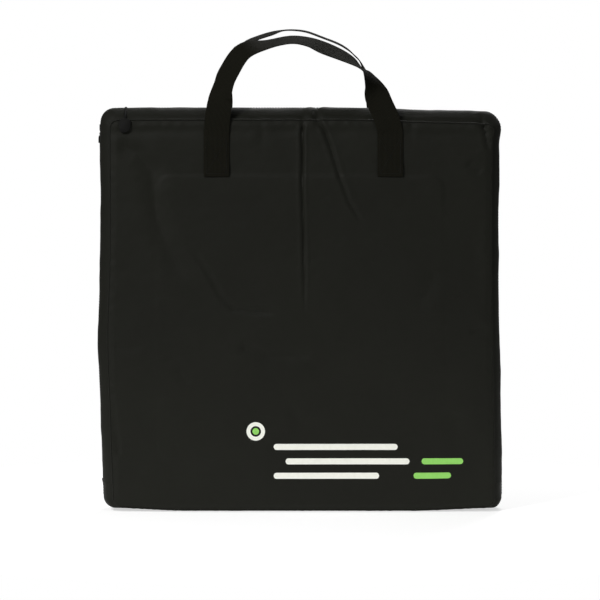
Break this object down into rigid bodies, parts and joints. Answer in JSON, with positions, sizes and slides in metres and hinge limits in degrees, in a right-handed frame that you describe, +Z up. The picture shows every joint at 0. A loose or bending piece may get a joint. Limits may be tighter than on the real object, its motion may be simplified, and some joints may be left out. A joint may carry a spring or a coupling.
{
  "type": "soft carry bag with a three-sided zip",
  "caption": "Flat square soft carry bag: hinged front cover on a zip round three sides, webbing handles, zip sliders with pulls, padded and stiffened walls.",
  "frame": {"origin": "middle of the underside of the base, on the surface that the bag stands on", "axes": "+Z up, the front cover faces -Y, +X to the right as seen from the front"},
  "size_m": [0.6156, 0.1222, 0.731],
  "materials": {
    "nylon_cloth": "matt black coated nylon plain weave",
    "webbing": "matt black woven polypropylene webbing",
    "lining_cloth": "thin black polyester lining",
    "foam": "grey closed-cell foam sheet",
    "stiffener": "dark grey fluted polypropylene board",
    "zip_nylon": "black nylon coil and woven tape",
    "painted_metal": "black enamelled zinc, satin"
  },
  "bodies": {
    "back_tray": {"back_panel": "nylon_cloth", "back_foam": "foam", "back_stiffener": "stiffener", "back_lining": "lining_cloth", "back_seam_binding": "lining_cloth", "back_welt": "nylon_cloth", "back_gusset_left": "nylon_cloth", "back_gusset_top": "nylon_cloth", "back_gusset_right": "nylon_cloth", "back_zip_tape": "zip_nylon", "back_zip_coil": "zip_nylon", "back_anchor_left": "webbing", "back_anchor_right": "webbing", "base_gusset": "nylon_cloth", "corner_gusset_left": "nylon_cloth", "corner_gusset_right": "nylon_cloth", "zip_stop_left": "painted_metal", "zip_stop_right": "painted_metal", "zip_end_tab_left": "nylon_cloth", "zip_end_tab_right": "nylon_cloth"},
    "front_cover": {"front_panel": "nylon_cloth", "front_foam": "foam", "front_stiffener": "stiffener", "front_lining": "lining_cloth", "front_seam_binding": "lining_cloth", "front_welt": "nylon_cloth", "front_gusset_left": "nylon_cloth", "front_gusset_top": "nylon_cloth", "front_gusset_right": "nylon_cloth", "front_zip_tape": "zip_nylon", "front_zip_coil": "zip_nylon", "front_anchor_left": "webbing", "front_anchor_right": "webbing"},
    "front_handle": {"handle_front": "webbing"},
    "back_handle": {"handle_back": "webbing"},
    "top_slider": {"slider_top": "painted_metal", "bridge_top": "painted_metal"},
    "top_pull": {"pull_top": "painted_metal"},
    "side_slider": {"slider_side": "painted_metal", "bridge_side": "painted_metal"},
    "side_pull": {"pull_side": "painted_metal"}
  },
  "joints": [
    {"name": "cover_hinge", "type": "hinge", "parent": "back_tray", "child": "front_cover", "pos_m": [0, -0.0445, 0], "axis": [1, 0, 0], "range_deg": [0, 88]},
    {"name": "front_handle_fold", "type": "hinge", "parent": "front_cover", "child": "front_handle", "pos_m": [0, -0.0421, 0.57], "axis": [1, 0, 0], "range_deg": [-8, 170]},
    {"name": "back_handle_fold", "type": "hinge", "parent": "back_tray", "child": "back_handle", "pos_m": [0, 0.0421, 0.57], "axis": [-1, 0, 0], "range_deg": [-8, 170]},
    {"name": "top_slider_run", "type": "slide", "parent": "front_cover", "child": "top_slider", "axis": [1, 0, 0], "range_m": [0, 0.528]},
    {"name": "top_pull_flip", "type": "hinge", "parent": "top_slider", "child": "top_pull", "pos_m": [-0.264, 0, 0.6092], "axis": [-1, 0, 0], "range_deg": [0, 135]},
    {"name": "side_slider_run", "type": "slide", "parent": "front_cover", "child": "side_slider", "axis": [0, 0, -1], "range_m": [0, 0.522]},
    {"name": "side_pull_swing", "type": "hinge", "parent": "side_slider", "child": "side_pull", "pos_m": [-0.3016, 0, 0.582], "axis": [0, 1, 0], "range_deg": [0, 150]}
  ]
}
